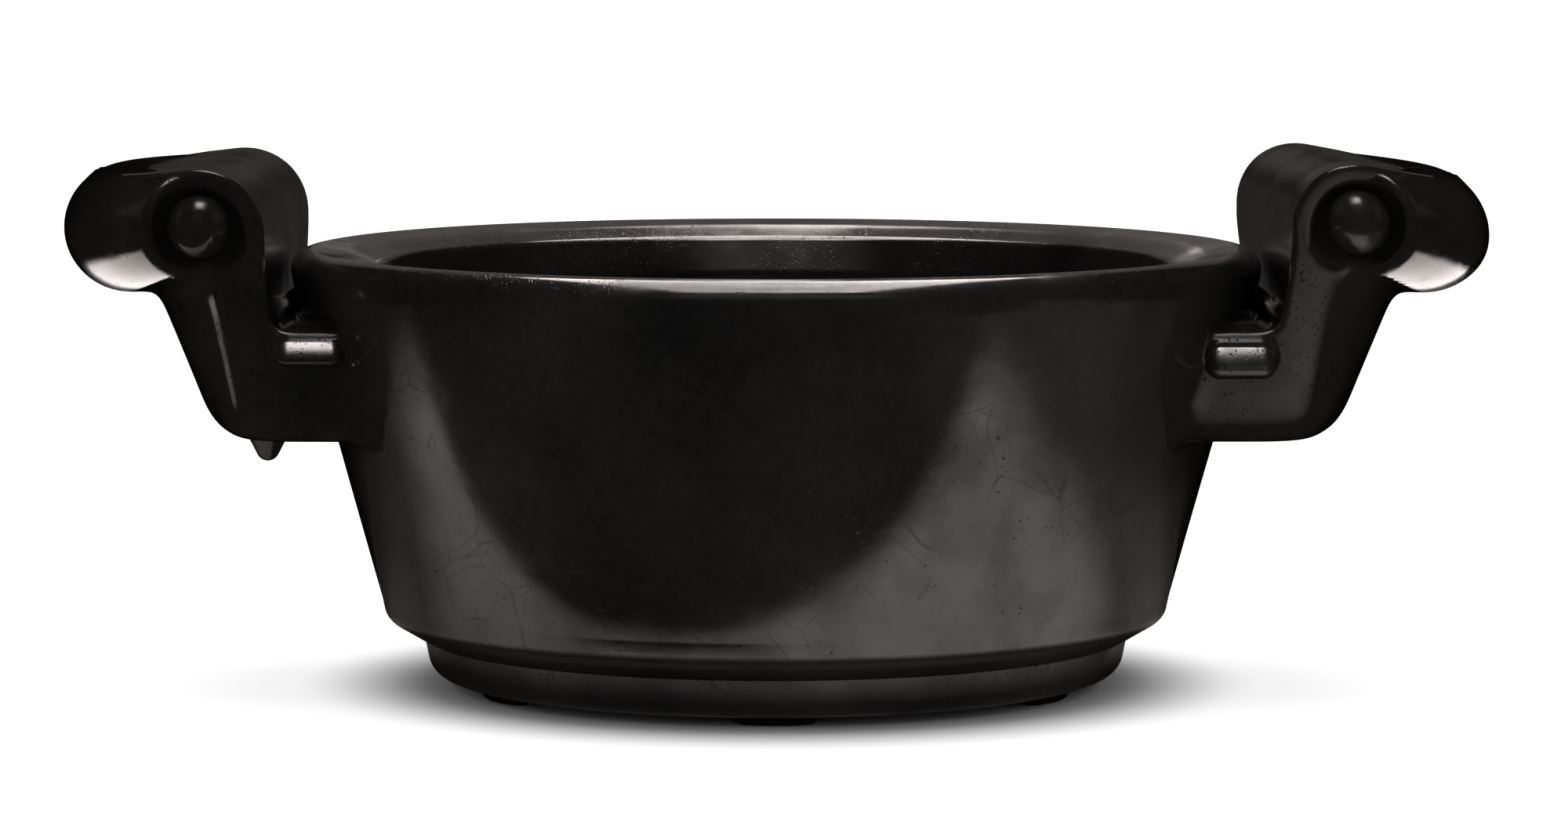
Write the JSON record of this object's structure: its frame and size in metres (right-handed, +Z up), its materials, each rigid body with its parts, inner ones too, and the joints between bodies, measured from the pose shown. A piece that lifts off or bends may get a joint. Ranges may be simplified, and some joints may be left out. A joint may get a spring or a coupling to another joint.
{
  "type": "black clay pot",
  "caption": "Wide tapered black clay bowl with a thick sloping lip, a recessed foot and two broad scroll handles rising above the rim.",
  "frame": {"origin": "centre of the base, on the surface that the pot stands on", "axes": "+X towards the right handle, -Y towards the front, +Z up along the bowl's axis"},
  "size_m": [0.366, 0.25, 0.1368],
  "materials": {
    "bowl_clay": "burnished black clay, glossy, with faint scratches",
    "rim_clay": "burnished black clay, glossy, with fine dark pits",
    "handle_clay": "burnished black clay, glossy",
    "foot_clay": "burnished black clay, satin, slightly worn underneath"
  },
  "bodies": {
    "root": {"bowl_wall": "bowl_clay", "rim_coil": "rim_clay", "foot_ring": "foot_clay", "foot_pad_1": "foot_clay", "foot_pad_2": "foot_clay", "foot_pad_3": "foot_clay", "foot_pad_4": "foot_clay", "foot_pad_5": "foot_clay", "foot_pad_6": "foot_clay", "left_bracket": "handle_clay", "left_strap": "handle_clay", "left_scroll": "handle_clay", "left_eye_front": "handle_clay", "left_eye_back": "handle_clay", "left_peg_front": "handle_clay", "left_peg_back": "handle_clay", "right_bracket": "handle_clay", "right_strap": "handle_clay", "right_scroll": "handle_clay", "right_eye_front": "handle_clay", "right_eye_back": "handle_clay", "right_peg_front": "handle_clay", "right_peg_back": "handle_clay", "left_drip": "handle_clay"}
  },
  "joints": []
}
